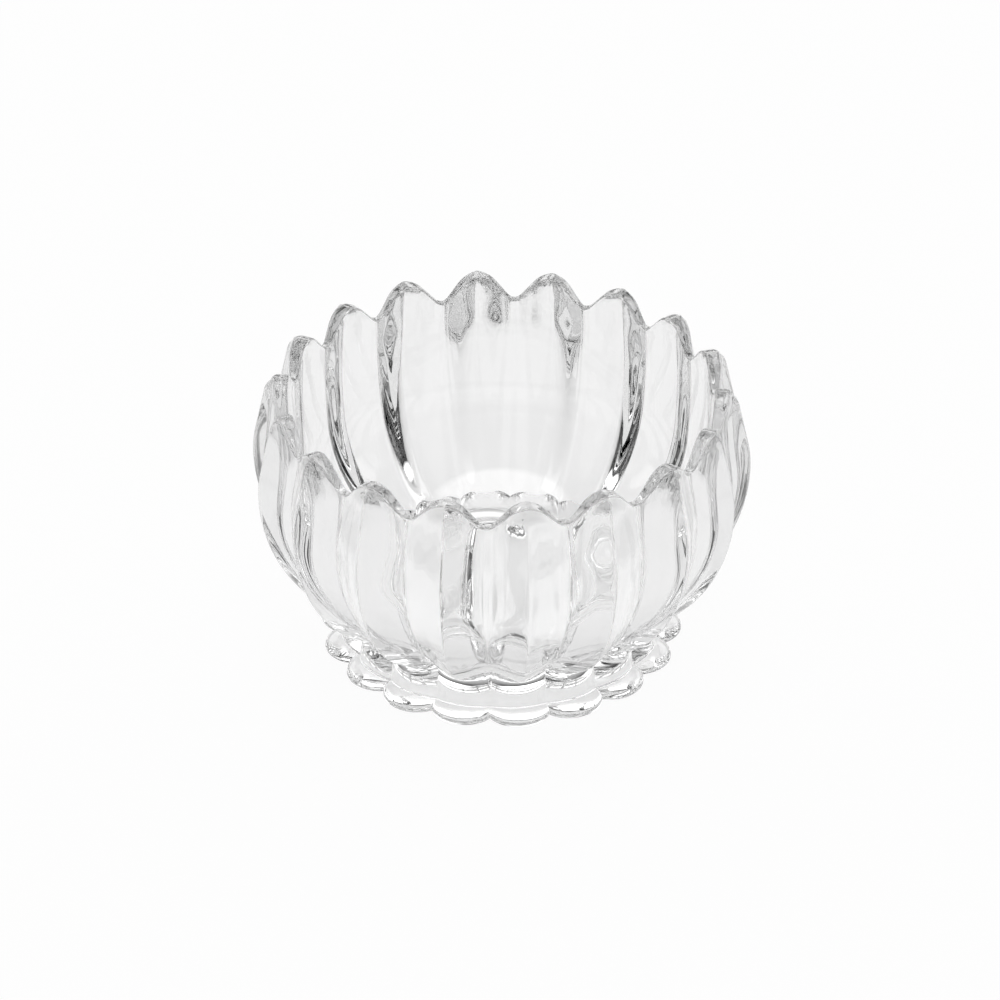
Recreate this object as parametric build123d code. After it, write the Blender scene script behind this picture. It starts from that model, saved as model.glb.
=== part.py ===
from build123d import *
import math
import os

# Driving dimensions in millimetres. The axis is Z and the table is at height zero.

# Petals
PETALS = 18             # petals round the bowl, each above one toe of the foot
HEIGHT = 88.0           # petal tips above the table
BELLY_RADIUS = 77.0     # keel of a petal where the bowl is widest
BELLY_HEIGHT = 61.0     # height of the widest place
NECK_RADIUS = 49.5      # keel of a petal at the bowl's flat bottom
NECK_HEIGHT = 13.0      # height of the bowl's flat bottom, where it sits on the foot
SWELL = 0.71            # fullness of the keel between neck and belly, lower is fuller
UPPER_BEND = 40.0       # radius of the keel's bend above the belly
UPPER_TAPER = 13.0      # lean in degrees of the straight stretch from this bend to the tip
GROOVE_DEPTH = 6.8      # keel to groove at the belly
NECK_GROOVE = 3.6       # keel to groove at the neck, square to the petal
NECK_SLOPE = 56.0       # slope in degrees of that measure below level
FACE_RISE = 0.4         # rise of each half petal over a flat face

# Rim
TIP_ROUND = 5.0         # radius over the outside of a petal's tip
TIP_TURN = 62.0         # angle in degrees that this rounding turns through
SCALLOP_DEPTH = 8.2     # tips to the valleys between them
PEAK_SHARE = 0.74       # radius of a petal's outline at its tip, over half the petal's width
PEAK_SLOPE = 6.0        # slope in degrees at which the two sides of a tip meet
VALLEY_SHARE = 0.26     # radius at the bottom of a valley, over half the petal's width
RIM_WALL = 4.0          # flat of the rim across a tip

# Inside
INNER_DRAFT = 1.0       # taper of the cup's wall in degrees
CUP_ROUND = 37.0        # radius from the wall into the floor
FLOOR_THICKNESS = 3.0   # bowl's own glass under the floor

# Foot
COLLAR_WALL = 2.0       # top of a collar panel outside the bowl's neck
COLLAR_TAPER = 0.3      # top of a collar panel outside its bottom
CREASE_DEPTH = 5.0      # creases between the panels, inside the panels' tops
FOOT_CREASE = 2.2       # creases between the panels, inside the panels' bottoms
COLLAR_OVERLAP = 4.0    # collar's blank above the bottom of the grooves, before the bowl's seat is cut
TOE_REACH = 5.5         # toe tips outside the tops of the panels
TOE_DEPTH = 4.5         # toe tips outside the notches between them
TOE_EDGE = 0.7          # bevel along the underside of a toe's edge
TOE_HEIGHT = 3.0        # top of the domed toes, where they meet the collar
RING_WIDTH = 6.5        # standing ring, from a notch in to the hollow
HOLLOW_DEPTH = 8.0      # domed hollow under the foot
HOLLOW_RUN = 14.0       # run of its rounded side, from the ring to its flat top

# Worked out from the sizes above
PITCH = 360.0 / PETALS
GROOVE_NECK_RADIUS = NECK_RADIUS - NECK_GROOVE * math.sin(math.radians(NECK_SLOPE))
GROOVE_NECK_HEIGHT = NECK_HEIGHT + NECK_GROOVE * math.cos(math.radians(NECK_SLOPE))
BEND_RISE = UPPER_BEND * math.sin(math.radians(UPPER_TAPER))
TIP_START = HEIGHT - TIP_ROUND * math.sin(math.radians(TIP_TURN))
FLOOR_HEIGHT = NECK_HEIGHT + FLOOR_THICKNESS
COLLAR_RADIUS = NECK_RADIUS + COLLAR_WALL
COLLAR_TOP = GROOVE_NECK_HEIGHT + COLLAR_OVERLAP
TOE_RADIUS = COLLAR_RADIUS + TOE_REACH
HOLLOW_RADIUS = TOE_RADIUS - TOE_DEPTH - RING_WIDTH
HOLLOW_ROUND = (HOLLOW_RUN**2 + HOLLOW_DEPTH**2) / (2.0 * HOLLOW_DEPTH)

# How finely the petals' curve is followed, and how far cuts run clear of the glass
LOWER_SECTIONS = 9
BEND_SECTIONS = 3
TAPER_SECTIONS = 2
TIP_SECTIONS = 3
DOME_SECTIONS = 4
TIP_OVERRUN = 12.0      # degrees by which the tip's rounding runs on above the tips before it is cut
CLEAR = 10.0


def ring_point(radius, angle, height):
    """Point at a radius and an angle in degrees round the axis."""
    turn = math.radians(angle)
    return (radius * math.cos(turn), radius * math.sin(turn), height)


def swelling(height, belly_radius, neck_radius, neck_height):
    """Radius of a keel or a groove below the belly, where it swells out from the neck."""
    below = min(1.0, (BELLY_HEIGHT - height) / (BELLY_HEIGHT - neck_height))
    return neck_radius + (belly_radius - neck_radius) * (1.0 - below**2) ** SWELL


def bending_in(height):
    """How far the petals have bent in towards the axis, above the belly."""
    above = height - BELLY_HEIGHT
    turning = min(above, BEND_RISE)
    bend = UPPER_BEND - math.sqrt(UPPER_BEND**2 - turning**2)
    taper = (above - turning) * math.tan(math.radians(UPPER_TAPER))
    past = max(0.0, height - TIP_START)
    return bend + taper + TIP_ROUND - math.sqrt(TIP_ROUND**2 - past**2)


TIP_RADIUS = BELLY_RADIUS - bending_in(HEIGHT)
INNER_RADIUS = TIP_RADIUS - RIM_WALL
HALF_PETAL = INNER_RADIUS * math.tan(math.radians(PITCH / 2))
PEAK_ROUND = PEAK_SHARE * HALF_PETAL
VALLEY_ROUND = VALLEY_SHARE * HALF_PETAL


def petal_radii(height):
    """Radius of the keels and of the grooves at one height."""
    groove_belly = BELLY_RADIUS - GROOVE_DEPTH
    if height > BELLY_HEIGHT:
        inward = bending_in(height)
        return BELLY_RADIUS - inward, groove_belly - inward
    keel = swelling(height, BELLY_RADIUS, NECK_RADIUS, NECK_HEIGHT)
    groove = swelling(height, groove_belly, GROOVE_NECK_RADIUS, GROOVE_NECK_HEIGHT)
    return keel, groove


def petal_section(height):
    """Section through all the petals: two faces to a petal, meeting at its keel."""
    keel, groove = petal_radii(height)
    flat = 2.0 * keel * groove * math.cos(math.radians(PITCH / 4)) / (keel + groove)
    arcs = []
    for petal in range(PETALS):
        middle = petal * PITCH
        for start, end, side in ((groove, keel, -1), (keel, groove, 1)):
            first = ring_point(start, middle + (side - 1) * PITCH / 4, height)
            crown = ring_point(flat + FACE_RISE, middle + side * PITCH / 4, height)
            last = ring_point(end, middle + (side + 1) * PITCH / 4, height)
            arcs.append(ThreePointArc(first, crown, last))
    return Face(Wire(arcs))


def petal_heights():
    """Heights of the sections, close together where the petals bend most."""
    drop = BELLY_HEIGHT - NECK_HEIGHT
    bend_end = BELLY_HEIGHT + BEND_RISE
    taper_rise = TIP_START - bend_end
    lower = [BELLY_HEIGHT - drop * math.cos(math.pi / 2 * n / LOWER_SECTIONS) for n in range(LOWER_SECTIONS)]
    bend = [BELLY_HEIGHT + BEND_RISE * n / BEND_SECTIONS for n in range(BEND_SECTIONS)]
    taper = [bend_end + taper_rise * n / TAPER_SECTIONS for n in range(TAPER_SECTIONS + 1)]
    turns = [TIP_TURN * n / TIP_SECTIONS for n in range(1, TIP_SECTIONS + 1)] + [TIP_TURN + TIP_OVERRUN]
    tip = [TIP_START + TIP_ROUND * math.sin(math.radians(turn)) for turn in turns]
    return lower + bend + taper + tip


def cup():
    """Space inside the bowl: a drafted wall that rounds into a flat floor."""
    draft = math.radians(INNER_DRAFT)
    centre_height = FLOOR_HEIGHT + CUP_ROUND
    top = HEIGHT + CLEAR
    top_radius = INNER_RADIUS + CLEAR * math.tan(draft)
    centre_radius = INNER_RADIUS - (HEIGHT - centre_height) * math.tan(draft) - CUP_ROUND / math.cos(draft)

    def on_round(turn):
        return (centre_radius + CUP_ROUND * math.cos(turn), 0, centre_height - CUP_ROUND * math.sin(turn))

    wall_end = on_round(draft)
    floor_start = on_round(math.pi / 2)
    outline = [
        Line((0, 0, top), (top_radius, 0, top)),
        Line((top_radius, 0, top), wall_end),
        ThreePointArc(wall_end, on_round((draft + math.pi / 2) / 2), floor_start),
        Line(floor_start, (0, 0, FLOOR_HEIGHT)),
        Line((0, 0, FLOOR_HEIGHT), (0, 0, top)),
    ]
    return revolve(Face(Wire(outline)), Axis.Z)


def valley_profile(radius):
    """Rounded V between two tips, in the plane square to +X at one radius, closed above the rim."""
    spread = radius / INNER_RADIUS
    slope = math.radians(PEAK_SLOPE)
    peak_y = HALF_PETAL + PEAK_ROUND * math.sin(slope)
    peak_z = HEIGHT - PEAK_ROUND * math.cos(slope)
    valley_z = HEIGHT - SCALLOP_DEPTH + VALLEY_ROUND
    reach = math.hypot(peak_y, peak_z - valley_z)
    flank = math.atan2(peak_z - valley_z, peak_y) + math.asin((PEAK_ROUND + VALLEY_ROUND) / reach)
    overrun = VALLEY_ROUND

    def at(y, z):
        return (radius, y * spread, z)

    def on_peak(turn):
        return at(peak_y - PEAK_ROUND * math.sin(turn), peak_z + PEAK_ROUND * math.cos(turn))

    def on_valley(turn):
        return at(VALLEY_ROUND * math.sin(turn), valley_z - VALLEY_ROUND * math.cos(turn))

    def mirrored(point):
        return (point[0], -point[1], point[2])

    tip = at(HALF_PETAL, HEIGHT)
    past_tip = at(HALF_PETAL + overrun * math.cos(slope), HEIGHT + overrun * math.sin(slope))
    above = at(HALF_PETAL + overrun * math.cos(slope), HEIGHT + CLEAR)
    right = [
        Line(on_valley(flank), on_peak(flank)),
        ThreePointArc(on_peak(flank), on_peak((flank + slope) / 2), tip),
        Line(tip, past_tip),
        Line(past_tip, above),
    ]
    left = [
        Line(mirrored(above), mirrored(past_tip)),
        Line(mirrored(past_tip), mirrored(tip)),
        ThreePointArc(mirrored(tip), mirrored(on_peak((flank + slope) / 2)), mirrored(on_peak(flank))),
        Line(mirrored(on_peak(flank)), mirrored(on_valley(flank))),
    ]
    bottom = ThreePointArc(mirrored(on_valley(flank)), on_valley(0), on_valley(flank))
    return Face(Wire([bottom, *right, Line(above, mirrored(above)), *left]))


def valley_cuts():
    """One cut for each valley of the rim, widening outwards along its own radius."""
    cut = loft([valley_profile(INNER_RADIUS - CLEAR), valley_profile(BELLY_RADIUS + CLEAR)], ruled=True)
    return [Rot(0, 0, PITCH * (valley + 0.5)) * cut for valley in range(PETALS)]


def foot_section(tip_radius, notch_radius, height):
    """Section through the foot: one arc to a toe or a collar panel, meeting in notches."""
    arcs = []
    for toe in range(PETALS):
        middle = toe * PITCH
        first = ring_point(notch_radius, middle - PITCH / 2, height)
        last = ring_point(notch_radius, middle + PITCH / 2, height)
        arcs.append(ThreePointArc(first, ring_point(tip_radius, middle, height), last))
    return Face(Wire(arcs))


def foot_blank():
    """Foot before the bowl's seat is cut: domed toes, then the collar above them."""
    notch_radius = TOE_RADIUS - TOE_DEPTH
    panel_radius = COLLAR_RADIUS - COLLAR_TAPER
    crease_radius = panel_radius - FOOT_CREASE
    levels = [(TOE_RADIUS - TOE_EDGE, notch_radius - TOE_EDGE, 0.0)]
    for step in range(DOME_SECTIONS + 1):
        turn = math.pi / 2 * step / DOME_SECTIONS
        tip = panel_radius + (TOE_RADIUS - panel_radius) * math.cos(turn)
        notch = crease_radius + (notch_radius - crease_radius) * math.cos(turn)
        levels.append((tip, notch, TOE_EDGE + (TOE_HEIGHT - TOE_EDGE) * math.sin(turn)))
    levels.append((COLLAR_RADIUS, COLLAR_RADIUS - CREASE_DEPTH, COLLAR_TOP))
    return loft([foot_section(*level) for level in levels], ruled=True)


def hollow():
    """Domed hollow under the foot, so that it stands on a ring."""
    flat_end = HOLLOW_RADIUS - HOLLOW_RUN
    half_turn = math.asin(HOLLOW_RUN / HOLLOW_ROUND) / 2
    rounded = (
        flat_end + HOLLOW_ROUND * math.sin(half_turn),
        0,
        HOLLOW_DEPTH - HOLLOW_ROUND * (1.0 - math.cos(half_turn)),
    )
    outline = [
        Line((0, 0, 0), (HOLLOW_RADIUS, 0, 0)),
        ThreePointArc((HOLLOW_RADIUS, 0, 0), rounded, (flat_end, 0, HOLLOW_DEPTH)),
        Line((flat_end, 0, HOLLOW_DEPTH), (0, 0, HOLLOW_DEPTH)),
        Line((0, 0, HOLLOW_DEPTH), (0, 0, 0)),
    ]
    return revolve(Face(Wire(outline)), Axis.Z)


# The bowl's outside also cuts its seat in the foot, so the two meet face to face
petals = loft([petal_section(height) for height in petal_heights()])
cuts = valley_cuts()
bowl = petals - cup() - cuts[0::2] - cuts[1::2]
foot = foot_blank() - petals - hollow()

os.makedirs("parts", exist_ok=True)
export_step(bowl, "parts/bowl.step")
export_step(foot, "parts/foot.step")
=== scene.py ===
import math

import bpy
import numpy as np
from mathutils import Matrix, Vector, noise


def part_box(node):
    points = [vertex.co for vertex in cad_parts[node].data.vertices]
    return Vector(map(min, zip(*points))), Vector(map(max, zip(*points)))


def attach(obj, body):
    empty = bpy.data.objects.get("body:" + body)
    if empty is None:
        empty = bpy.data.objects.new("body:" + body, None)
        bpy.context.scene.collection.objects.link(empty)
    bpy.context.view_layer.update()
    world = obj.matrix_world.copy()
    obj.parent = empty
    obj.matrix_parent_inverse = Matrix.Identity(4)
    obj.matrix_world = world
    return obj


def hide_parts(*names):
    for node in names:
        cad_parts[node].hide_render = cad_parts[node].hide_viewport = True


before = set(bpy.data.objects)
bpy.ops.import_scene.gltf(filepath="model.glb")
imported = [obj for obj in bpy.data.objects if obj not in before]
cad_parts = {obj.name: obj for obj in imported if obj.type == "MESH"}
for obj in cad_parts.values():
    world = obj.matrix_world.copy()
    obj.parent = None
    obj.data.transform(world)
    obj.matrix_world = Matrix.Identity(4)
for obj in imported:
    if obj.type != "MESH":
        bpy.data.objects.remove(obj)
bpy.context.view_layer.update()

# Sizes in metres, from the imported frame
MM = 0.001
BOWL_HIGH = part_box("bowl")[1]
FOOT_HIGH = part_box("foot")[1]
HEIGHT = BOWL_HIGH[2]
BELLY_RADIUS = BOWL_HIGH[0]
TOE_RADIUS = FOOT_HIGH[0]

# Petals
PETALS = 18
HALF_PITCH = math.pi / PETALS
BELLY_HEIGHT = 61.0 * MM
NECK_RADIUS = 49.5 * MM
NECK_HEIGHT = 13.0 * MM
GROOVE_NECK_RADIUS = 46.5 * MM
GROOVE_NECK_HEIGHT = 15.0 * MM
SWELL = 0.71
UPPER_BEND = 40.0 * MM
UPPER_TAPER = math.radians(13.0)
GROOVE_DEPTH = 6.8 * MM
FACE_RISE = 0.48 * MM
FLANK_START = 0.42          # share of a half petal at which its curved crown turns into a flat flank
KEEL_SOFT = 0.02            # share of a half petal over which its keel is rounded
GROOVE_SOFT = 0.09          # share of a half petal over which its groove is rounded

# Rim
TIP_ROUND = 5.0 * MM
TIP_TURN = math.radians(62.0)
SCALLOP_DEPTH = 8.2 * MM
PEAK_ROUND = 8.5 * MM
PEAK_SLOPE = math.radians(6.0)
VALLEY_ROUND = 3.0 * MM
RIM_EDGE = 0.8 * MM         # fire-polished rounding of the rim's two edges

# Inside
RIM_WALL = 4.0 * MM         # flat of the rim across a tip
INNER_DRAFT = math.radians(1.0)
CUP_ROUND = 37.0 * MM
FLOOR_HEIGHT = 16.0 * MM

# Foot
COLLAR_RADIUS = 51.5 * MM
PANEL_FOOT = 51.2 * MM      # bottom of a panel, at its middle
CREASE_TOP = 46.5 * MM      # creases between the collar's panels, at the collar's top
CREASE_FOOT = 49.0 * MM     # and where they run out between the toes
COLLAR_TOP = 19.0 * MM
SEAM_SOFT = 0.7 * MM        # softness of the seam between the petals and the collar
SEAM_REACH = 2.0 * MM       # stretch above and below the seam that has closer rows
NOTCH_RADIUS = 52.5 * MM
TOE_HEIGHT = 2.4 * MM       # toes where they meet the creases
TOE_CROWN = 3.6 * MM        # and where they meet the middles of the panels
TOE_EDGE = 0.7 * MM
HOLLOW_RADIUS = 46.0 * MM
HOLLOW_DEPTH = 8.0 * MM
HOLLOW_RUN = 14.0 * MM      # run of the hollow's rounded side

# Unevenness of pressed glass
WAVE_LENGTH = 16.0 * MM
WAVE_HEIGHT = 0.07 * MM
RIPPLE_LENGTH = 2.2 * MM    # finer ripples along the rim
RIPPLE_HEIGHT = 0.035 * MM
RIPPLE_START = HEIGHT - 14.0 * MM
RIPPLE_FULL = HEIGHT - 7.0 * MM

# Finish of the glass
GLASS_TINT = 0.99           # surface colour, a touch under clear
GLASS_DENSITY = 2.8         # slight grey of the glass, to the metre
FLOW_SCALE = 160.0          # faint flow lines, in waves to the metre
FLOW_HEIGHT = 0.012 * MM
SPECK_SCALE = 250.0         # grains along the rim
SPECK_HEIGHT = 0.2 * MM
SPECK_START = HEIGHT - 9.0 * MM
SPECK_FULL = HEIGHT - 2.0 * MM
POLISH_SCALE = 60.0         # patches of slightly duller polish
POLISH_ROUGH = 0.004
POLISH_START = 0.6          # share of the polish noise at which the duller patches start
POLISH_FULL = 0.8           # and at which they are dullest
FLOW_DETAIL = 1.0
SPECK_DETAIL = 2.0
POLISH_DETAIL = 3.0
RELIEF_UNIT = 1.0           # metres of relief to one unit of height in the nodes
GLASS_IOR = 1.52

# Mesh density, as columns across a half petal and rows along each stretch of the skin
HALF_COLUMNS = 16
COLUMN_PULL = 0.75          # how strongly the columns are drawn to keels and grooves
FLAT_ROWS = 8
DOME_ROWS = 20
RING_ROWS = 6
EDGE_ROWS = 5
TOE_ROWS = 14
COLLAR_ROWS = 14
SEAM_ROWS = 14
PETAL_ROWS = 64
PETAL_EASE = 0.06           # how strongly the petals' rows are drawn to the seam and the rim
WALL_ROWS = 20
CUP_ROWS = 40
SEAM_STEPS = 40             # halvings in the search for the seam

# Studio, as brightness at heights in degrees over the horizon
BACK_STOPS = [(0, 0.0), (9, 0.0), (13, 2.0), (34, 2.0), (40, 0.7), (58, 0.3), (66, 0.0), (71, 3.0)]
FRONT_STOPS = [(0, 0.4), (5, 0.4), (8, 0.0), (66, 0.0), (71, 3.0)]
BACK_FULL = 65.0            # degrees from straight behind within which the back wall is full
BACK_END = 85.0             # and at which it has given way to the dark front
FLOOR_SEEN = 0.96           # share of plain white in the floor as the camera sees it
FLOOR_THROUGH = 0.74        # and as it is seen through the glass, the rest being its own shading
FLOOR_PALE = 0.9
FLOOR_ROUGH = 0.8
FLOOR_HALF = 6.0
FLOOR_DROP = 0.05 * MM      # floor under the standing ring, so that the two don't share a surface

# Camera, fitted to the photograph's frame
CAMERA_ELEVATION = math.radians(31.5)
CAMERA_AZIMUTH = math.radians(3.65)
CAMERA_DISTANCE = 1.2186    # from the middle of the rim
FOCAL_PIXELS = 4000.4
IMAGE_SIDE = 1000.0
RIM_PIXEL = (501.0, 384.2)  # where the middle of the rim is in the frame
SENSOR = 36.0

# Light paths deep enough for the glass
MAX_BOUNCES = 32
GLOSSY_BOUNCES = 24
TRANSMISSION_BOUNCES = 32

TAU = 2.0 * math.pi


def column_angles():
    """Angles of the mesh columns, drawn together at keels and grooves."""
    steps = np.arange(HALF_COLUMNS) / HALF_COLUMNS
    eased = 0.5 * (1.0 - np.cos(np.pi * steps)) * COLUMN_PULL + steps * (1.0 - COLUMN_PULL)
    halves = [(half + eased) * HALF_PITCH for half in range(2 * PETALS)]
    return np.concatenate(halves)


def from_keel(angles):
    """Angle from the nearest keel, 0 at a keel and HALF_PITCH at a groove."""
    return np.abs(np.mod(angles + HALF_PITCH, 2.0 * HALF_PITCH) - HALF_PITCH)


ANGLES = column_angles()
OFF_KEEL = from_keel(ANGLES)


def softened(offset):
    """The same angle with its turning points at keel and groove rounded off."""
    share = offset / HALF_PITCH
    keel = np.sqrt(share**2 + KEEL_SOFT**2)
    groove = 1.0 - np.sqrt((1.0 - keel) ** 2 + GROOVE_SOFT**2)
    return np.clip(groove, 0.0, 1.0) * HALF_PITCH


def swelling(z, belly_radius, neck_radius, neck_height):
    """Radius of a keel or a groove, which swells out from the neck to the belly."""
    below = np.clip((BELLY_HEIGHT - z) / (BELLY_HEIGHT - neck_height), 0.0, 1.0)
    return neck_radius + (belly_radius - neck_radius) * (1.0 - below**2) ** SWELL


def bending_in(z):
    """How far the petals have bent in towards the axis, above the belly."""
    tip_start = HEIGHT - TIP_ROUND * math.sin(TIP_TURN)
    above = np.maximum(z - BELLY_HEIGHT, 0.0)
    turning = np.minimum(above, UPPER_BEND * math.sin(UPPER_TAPER))
    bend = UPPER_BEND - np.sqrt(UPPER_BEND**2 - turning**2) + (above - turning) * math.tan(UPPER_TAPER)
    past = np.clip(z - tip_start, 0.0, TIP_ROUND)
    return bend + TIP_ROUND - np.sqrt(TIP_ROUND**2 - past**2)


INNER_RADIUS = BELLY_RADIUS - float(bending_in(HEIGHT)) - RIM_WALL


def face_bulge(share):
    """Rise of a half petal over a flat face, from its keel at 0 to its groove at 1."""
    left = 1.0 - FLANK_START / 2.0
    crown = left * share - share**2 / (2.0 * FLANK_START)
    flank = FLANK_START / 2.0 * (1.0 - share)
    highest = FLANK_START * left**2 / 2.0
    return FACE_RISE * np.where(share < FLANK_START, crown, flank) / highest


def petal_radius(offset, z):
    """Outside of the petals: two faces to a petal, from its keel to the grooves beside it."""
    inward = bending_in(z)
    keel = swelling(z, BELLY_RADIUS, NECK_RADIUS, NECK_HEIGHT) - inward
    groove = swelling(z, BELLY_RADIUS - GROOVE_DEPTH, GROOVE_NECK_RADIUS, GROOVE_NECK_HEIGHT) - inward
    soft = softened(offset)
    flat = keel * groove * math.sin(HALF_PITCH) / (keel * np.sin(soft) + groove * np.sin(HALF_PITCH - soft))
    return flat + face_bulge(soft / HALF_PITCH)


def arc_outline(offset, tip_radius, notch_radius):
    """One arc to a toe or panel, from notch to notch through its tip."""
    notch_x = notch_radius * math.cos(HALF_PITCH)
    notch_y = notch_radius * math.sin(HALF_PITCH)
    rise = tip_radius - notch_x
    arc = (notch_y**2 + rise**2) / (2.0 * rise)
    centre = tip_radius - arc
    return centre * np.cos(offset) + np.sqrt(arc**2 - (centre * np.sin(offset)) ** 2)


def collar_radius(offset, z):
    """Collar: bowed panels, with creases between them that deepen towards the top."""
    bottom = arc_outline(offset, PANEL_FOOT, CREASE_FOOT)
    top = arc_outline(offset, COLLAR_RADIUS, CREASE_TOP)
    return bottom + (top - bottom) * (z - TOE_HEIGHT) / (COLLAR_TOP - TOE_HEIGHT)


def side_radius(offset, z):
    """Collar or petals, whichever stands out further, with a soft seam between them."""
    petal = petal_radius(offset, z)
    collar = collar_radius(offset, z)
    return 0.5 * (petal + collar + np.sqrt((petal - collar) ** 2 + SEAM_SOFT**2))


def seam_height(offset):
    """Height at which the petals come out of the collar."""
    low = np.full_like(offset, TOE_HEIGHT)
    high = np.full_like(offset, COLLAR_TOP)
    for _ in range(SEAM_STEPS):
        middle = 0.5 * (low + high)
        inside = petal_radius(offset, middle) < collar_radius(offset, middle)
        low = np.where(inside, middle, low)
        high = np.where(inside, high, middle)
    return high


def rim_height(offset):
    """Top of the rim: rounded peaks over the keels and tighter valleys over the grooves."""
    half_width = INNER_RADIUS * math.tan(HALF_PITCH)
    y = INNER_RADIUS * np.tan(HALF_PITCH - offset)
    peak_y = half_width + PEAK_ROUND * math.sin(PEAK_SLOPE)
    peak_z = HEIGHT - PEAK_ROUND * math.cos(PEAK_SLOPE)
    valley_z = HEIGHT - SCALLOP_DEPTH + VALLEY_ROUND
    reach = math.hypot(peak_y, peak_z - valley_z)
    flank = math.atan2(peak_z - valley_z, peak_y) + math.asin((PEAK_ROUND + VALLEY_ROUND) / reach)
    valley_end = VALLEY_ROUND * math.sin(flank)
    peak_start = peak_y - PEAK_ROUND * math.sin(flank)
    in_valley = valley_z - np.sqrt(VALLEY_ROUND**2 - np.minimum(y, valley_end) ** 2)
    on_flank = (np.clip(y, valley_end, peak_start) - valley_end) * math.tan(flank)
    off_peak = peak_y - np.maximum(y, peak_start)
    on_peak = np.sqrt(PEAK_ROUND**2 - off_peak**2) - PEAK_ROUND * math.cos(flank)
    return in_valley + on_flank + on_peak


def cup_radius(z):
    """Inside of the cup above its rounding."""
    return INNER_RADIUS - (HEIGHT - z) * math.tan(INNER_DRAFT)


def spread(start, end, count):
    """Even steps from start to end, without the start itself."""
    return np.linspace(start, end, count + 1)[1:]


def glass_rows():
    """Rows of the glass skin from under the foot, up the outside, over the rim and down to the floor."""
    one = np.ones_like(OFF_KEEL)
    rows = []

    def add(radius, z):
        rows.append((radius * one, z * one))

    # Hollow under the foot
    flat_end = HOLLOW_RADIUS - HOLLOW_RUN
    dome = (HOLLOW_RUN**2 + HOLLOW_DEPTH**2) / (2.0 * HOLLOW_DEPTH)
    for share in spread(0.0, 1.0, FLAT_ROWS):
        add(flat_end * share, HOLLOW_DEPTH)
    for turn in spread(0.0, math.asin(HOLLOW_RUN / dome), DOME_ROWS):
        add(flat_end + dome * math.sin(turn), HOLLOW_DEPTH - dome * (1.0 - math.cos(turn)))

    # Standing ring and toes
    toe = arc_outline(OFF_KEEL, TOE_RADIUS, NOTCH_RADIUS)
    for share in spread(0.0, 1.0, RING_ROWS):
        add(HOLLOW_RADIUS + (toe - TOE_EDGE - HOLLOW_RADIUS) * share, 0.0)
    for turn in spread(-math.pi / 2, 0.0, EDGE_ROWS):
        add(toe - TOE_EDGE + TOE_EDGE * math.cos(turn), TOE_EDGE + TOE_EDGE * math.sin(turn))
    toe_top = TOE_CROWN - (TOE_CROWN - TOE_HEIGHT) * (OFF_KEEL / HALF_PITCH) ** 2
    collar_foot = side_radius(OFF_KEEL, toe_top)
    for turn in spread(0.0, math.pi / 2, TOE_ROWS):
        radius = collar_foot + (toe - collar_foot) * math.cos(turn)
        add(radius, TOE_EDGE + (toe_top - TOE_EDGE) * math.sin(turn))

    # Collar, and the seam where the petals come out of it
    seam = seam_height(OFF_KEEL)
    below = seam - SEAM_REACH
    above = seam + SEAM_REACH
    for share in spread(0.0, 1.0, COLLAR_ROWS):
        z = toe_top + (below - toe_top) * share
        add(side_radius(OFF_KEEL, z), z)
    for share in spread(0.0, 1.0, SEAM_ROWS):
        z = below + (above - below) * share
        add(side_radius(OFF_KEEL, z), z)

    # Outside of the petals, then over the rim
    top = rim_height(OFF_KEEL)
    for share in spread(0.0, 1.0, PETAL_ROWS):
        eased = share + PETAL_EASE * math.sin(TAU * share)
        z = above + (top - RIM_EDGE - above) * eased
        add(side_radius(OFF_KEEL, z), z)
    outer = side_radius(OFF_KEEL, top - RIM_EDGE)
    inner = cup_radius(top)
    for turn in spread(0.0, math.pi / 2, EDGE_ROWS):
        add(outer - RIM_EDGE * (1.0 - math.cos(turn)), top - RIM_EDGE * (1.0 - math.sin(turn)))
    for share in spread(0.0, 1.0, EDGE_ROWS):
        start = outer - RIM_EDGE
        add(start + (inner + RIM_EDGE - start) * share, top)
    for turn in spread(0.0, math.pi / 2, EDGE_ROWS):
        add(inner + RIM_EDGE * (1.0 - math.sin(turn)), top - RIM_EDGE * (1.0 - math.cos(turn)))

    # Inside of the cup and its floor
    centre_z = FLOOR_HEIGHT + CUP_ROUND
    centre_radius = cup_radius(centre_z) - CUP_ROUND / math.cos(INNER_DRAFT)
    wall_end = centre_z - CUP_ROUND * math.sin(INNER_DRAFT)
    for share in spread(0.0, 1.0, WALL_ROWS):
        z = top - RIM_EDGE + (wall_end - top + RIM_EDGE) * share
        add(cup_radius(z), z)
    for turn in spread(INNER_DRAFT, math.pi / 2, CUP_ROWS):
        add(centre_radius + CUP_ROUND * math.cos(turn), centre_z - CUP_ROUND * math.sin(turn))
    for share in spread(0.0, 1.0, FLAT_ROWS)[:-1]:
        add(centre_radius * (1.0 - share), FLOOR_HEIGHT)
    return rows


def uneven(points):
    """The points drawn towards the axis by slight waves in the glass, with finer ripples near the rim."""
    moved = [points[0]]
    for x, y, z in points[1:]:
        place = Vector((x, y, z))
        wave = WAVE_HEIGHT * (noise.noise(place / WAVE_LENGTH) - 1.0)
        near_rim = min(1.0, max(0.0, (z - RIPPLE_START) / (RIPPLE_FULL - RIPPLE_START)))
        wave += RIPPLE_HEIGHT * near_rim * noise.noise(place / RIPPLE_LENGTH)
        radius = math.hypot(x, y)
        lifted = min(1.0, max(0.0, z / TOE_HEIGHT))
        scale = 1.0 + wave * lifted * min(1.0, radius / WAVE_LENGTH) / max(radius, WAVE_LENGTH)
        moved.append((x * scale, y * scale, z))
    return moved


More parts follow.
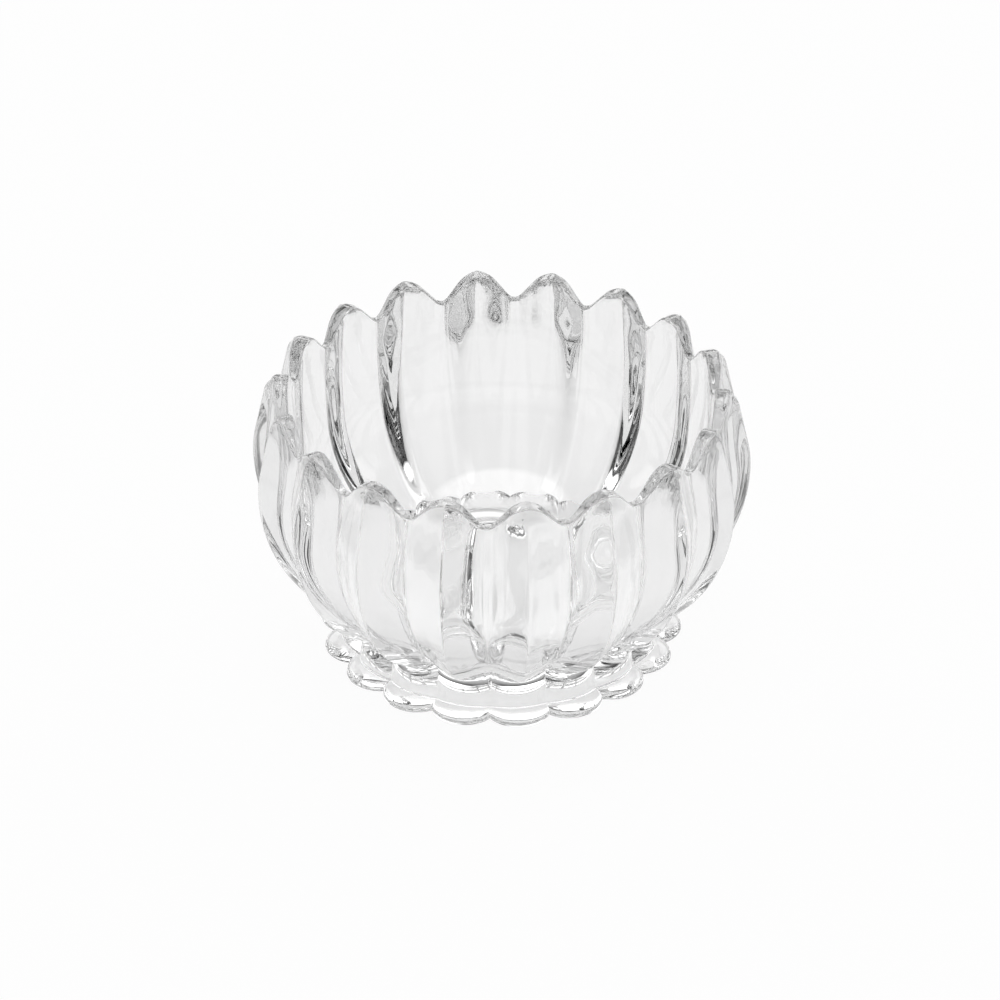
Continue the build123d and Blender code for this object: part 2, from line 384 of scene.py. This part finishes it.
def glass_mesh():
    """Closed mesh of the whole glass, with one point on the axis below and one above."""
    rows = glass_rows()
    count = len(ANGLES)
    points = [(0.0, 0.0, HOLLOW_DEPTH)]
    for radius, z in rows:
        points += list(zip(radius * np.cos(ANGLES), radius * np.sin(ANGLES), z))
    points.append((0.0, 0.0, FLOOR_HEIGHT))
    top = len(points) - 1
    faces = []
    for column in range(count):
        after = (column + 1) % count
        faces.append((0, 1 + after, 1 + column))
        for row in range(len(rows) - 1):
            start = 1 + row * count
            faces.append((start + column, start + after, start + count + after, start + count + column))
        last = 1 + (len(rows) - 1) * count
        faces.append((last + column, last + after, top))
    mesh = bpy.data.meshes.new("lotus_bowl")
    mesh.from_pydata(uneven(points), [], faces)
    mesh.polygons.foreach_set("use_smooth", [True] * len(mesh.polygons))
    mesh.update()
    return mesh


def glass_material():
    """Clear glass with faint flow lines, patches of duller polish and a grainy rim."""
    material = bpy.data.materials.new("clear_glass")
    material.use_nodes = True
    tree = material.node_tree
    nodes, links = tree.nodes, tree.links
    shader = nodes["Principled BSDF"]
    shader.inputs["Base Color"].default_value = (GLASS_TINT, GLASS_TINT, GLASS_TINT, 1.0)
    shader.inputs["IOR"].default_value = GLASS_IOR
    shader.inputs["Transmission Weight"].default_value = 1.0
    depth = nodes.new("ShaderNodeVolumeAbsorption")
    depth.inputs["Color"].default_value = (0.0, 0.0, 0.0, 1.0)
    depth.inputs["Density"].default_value = GLASS_DENSITY
    links.new(depth.outputs[0], nodes["Material Output"].inputs["Volume"])
    place = nodes.new("ShaderNodeTexCoord")

    def grain(scale, detail):
        node = nodes.new("ShaderNodeTexNoise")
        node.inputs["Scale"].default_value = scale
        node.inputs["Detail"].default_value = detail
        links.new(place.outputs["Object"], node.inputs["Vector"])
        return node.outputs["Fac"]

    polish = nodes.new("ShaderNodeMapRange")
    polish.inputs["From Min"].default_value = POLISH_START
    polish.inputs["From Max"].default_value = POLISH_FULL
    polish.inputs["To Max"].default_value = POLISH_ROUGH
    links.new(grain(POLISH_SCALE, POLISH_DETAIL), polish.inputs["Value"])
    links.new(polish.outputs[0], shader.inputs["Roughness"])

    split = nodes.new("ShaderNodeSeparateXYZ")
    links.new(place.outputs["Object"], split.inputs[0])
    near_rim = nodes.new("ShaderNodeMapRange")
    near_rim.interpolation_type = "SMOOTHSTEP"
    near_rim.inputs["From Min"].default_value = SPECK_START
    near_rim.inputs["From Max"].default_value = SPECK_FULL
    near_rim.inputs["To Max"].default_value = SPECK_HEIGHT
    links.new(split.outputs["Z"], near_rim.inputs["Value"])
    specks = nodes.new("ShaderNodeMath")
    specks.operation = "MULTIPLY"
    links.new(grain(SPECK_SCALE, SPECK_DETAIL), specks.inputs[0])
    links.new(near_rim.outputs[0], specks.inputs[1])
    relief = nodes.new("ShaderNodeMath")
    relief.operation = "MULTIPLY_ADD"
    relief.inputs[1].default_value = FLOW_HEIGHT
    links.new(grain(FLOW_SCALE, FLOW_DETAIL), relief.inputs[0])
    links.new(specks.outputs[0], relief.inputs[2])
    bump = nodes.new("ShaderNodeBump")
    bump.inputs["Distance"].default_value = RELIEF_UNIT
    links.new(relief.outputs[0], bump.inputs["Height"])
    links.new(bump.outputs["Normal"], shader.inputs["Normal"])
    return material


def floor_material():
    """Pale floor: plain white to the camera, and partly so through the glass, over its own shading."""
    material = bpy.data.materials.new("pale_floor")
    material.use_nodes = True
    tree = material.node_tree
    nodes, links = tree.nodes, tree.links
    shader = nodes["Principled BSDF"]
    shader.inputs["Base Color"].default_value = (FLOOR_PALE, FLOOR_PALE, FLOOR_PALE, 1.0)
    shader.inputs["Roughness"].default_value = FLOOR_ROUGH
    glow = nodes.new("ShaderNodeEmission")
    path = nodes.new("ShaderNodeLightPath")
    through = nodes.new("ShaderNodeMath")
    through.operation = "MAXIMUM"
    links.new(path.outputs["Is Glossy Ray"], through.inputs[0])
    links.new(path.outputs["Is Transmission Ray"], through.inputs[1])
    glassy = nodes.new("ShaderNodeMath")
    glassy.operation = "MULTIPLY"
    glassy.inputs[1].default_value = FLOOR_THROUGH
    links.new(through.outputs[0], glassy.inputs[0])
    share = nodes.new("ShaderNodeMath")
    share.operation = "MULTIPLY_ADD"
    share.inputs[1].default_value = FLOOR_SEEN
    links.new(path.outputs["Is Camera Ray"], share.inputs[0])
    links.new(glassy.outputs[0], share.inputs[2])
    mix = nodes.new("ShaderNodeMixShader")
    links.new(share.outputs[0], mix.inputs["Fac"])
    links.new(shader.outputs[0], mix.inputs[1])
    links.new(glow.outputs[0], mix.inputs[2])
    links.new(mix.outputs[0], nodes["Material Output"].inputs["Surface"])
    return material


def add_floor():
    """Wide floor under the glass."""
    mesh = bpy.data.meshes.new("floor")
    corners = [(x * FLOOR_HALF, y * FLOOR_HALF, 0) for x, y in ((-1, -1), (1, -1), (1, 1), (-1, 1))]
    mesh.from_pydata(corners, [], [(0, 1, 2, 3)])
    mesh.materials.append(floor_material())
    floor = bpy.data.objects.new("floor", mesh)
    floor.location.z = -FLOOR_DROP
    bpy.context.collection.objects.link(floor)


def add_world():
    """Studio: bright overhead and in a strip low behind, dark elsewhere, white to the camera."""
    world = bpy.data.worlds.new("studio")
    bpy.context.scene.world = world
    world.use_nodes = True
    tree = world.node_tree
    nodes, links = tree.nodes, tree.links
    place = nodes.new("ShaderNodeTexCoord")
    split = nodes.new("ShaderNodeSeparateXYZ")
    links.new(place.outputs["Generated"], split.inputs[0])

    def ramp(stops):
        node = nodes.new("ShaderNodeValToRGB")
        elements = node.color_ramp.elements
        while len(elements) < len(stops):
            elements.new(1.0)
        for element, (degrees, level) in zip(elements, stops):
            element.position = math.sin(math.radians(degrees))
            element.color = (level, level, level, 1.0)
        links.new(split.outputs["Z"], node.inputs[0])
        return node.outputs["Color"]

    behind = ramp(BACK_STOPS)
    before = ramp(FRONT_STOPS)
    level = nodes.new("ShaderNodeCombineXYZ")
    links.new(split.outputs["X"], level.inputs["X"])
    links.new(split.outputs["Y"], level.inputs["Y"])
    heading = nodes.new("ShaderNodeVectorMath")
    heading.operation = "NORMALIZE"
    links.new(level.outputs[0], heading.inputs[0])
    bearing = nodes.new("ShaderNodeSeparateXYZ")
    links.new(heading.outputs["Vector"], bearing.inputs[0])
    wall = nodes.new("ShaderNodeMapRange")
    wall.interpolation_type = "SMOOTHSTEP"
    wall.inputs["From Min"].default_value = math.cos(math.radians(BACK_END))
    wall.inputs["From Max"].default_value = math.cos(math.radians(BACK_FULL))
    links.new(bearing.outputs["Y"], wall.inputs["Value"])
    room = nodes.new("ShaderNodeMix")
    room.data_type = "RGBA"
    links.new(wall.outputs[0], room.inputs["Factor"])
    links.new(before, room.inputs["A"])
    links.new(behind, room.inputs["B"])
    path = nodes.new("ShaderNodeLightPath")
    seen = nodes.new("ShaderNodeMix")
    seen.data_type = "RGBA"
    links.new(path.outputs["Is Camera Ray"], seen.inputs["Factor"])
    links.new(room.outputs["Result"], seen.inputs["A"])
    seen.inputs["B"].default_value = (1, 1, 1, 1)
    links.new(seen.outputs["Result"], nodes["Background"].inputs["Color"])


def add_camera():
    """Camera that looks past the middle of the rim, so that it falls on its pixel of the frame."""
    level = math.cos(CAMERA_ELEVATION)
    back = Vector((
        math.sin(CAMERA_AZIMUTH) * level,
        -math.cos(CAMERA_AZIMUTH) * level,
        math.sin(CAMERA_ELEVATION),
    ))
    data = bpy.data.cameras.new("photo_camera")
    data.sensor_fit = "HORIZONTAL"
    data.sensor_width = SENSOR
    data.lens = SENSOR * FOCAL_PIXELS / IMAGE_SIDE
    camera = bpy.data.objects.new("photo_camera", data)
    bpy.context.collection.objects.link(camera)
    yaw = math.atan((RIM_PIXEL[0] - IMAGE_SIDE / 2) / FOCAL_PIXELS)
    pitch = -math.atan((IMAGE_SIDE / 2 - RIM_PIXEL[1]) / FOCAL_PIXELS)
    aim = (-back).to_track_quat("-Z", "Y").to_matrix().to_4x4()
    turn = Matrix.Rotation(yaw, 4, "Y") @ Matrix.Rotation(pitch, 4, "X")
    rim_middle = Vector((0, 0, HEIGHT))
    camera.matrix_world = Matrix.Translation(rim_middle + back * CAMERA_DISTANCE) @ aim @ turn
    bpy.context.scene.camera = camera


bowl = bpy.data.objects.new("lotus_bowl", glass_mesh())
bpy.context.collection.objects.link(bowl)
bowl.data.materials.append(glass_material())
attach(bowl, "root")
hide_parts("bowl", "foot")
add_floor()
add_world()
add_camera()
bpy.context.scene.view_settings.view_transform = "Standard"
bpy.context.scene.cycles.max_bounces = MAX_BOUNCES
bpy.context.scene.cycles.glossy_bounces = GLOSSY_BOUNCES
bpy.context.scene.cycles.transmission_bounces = TRANSMISSION_BOUNCES
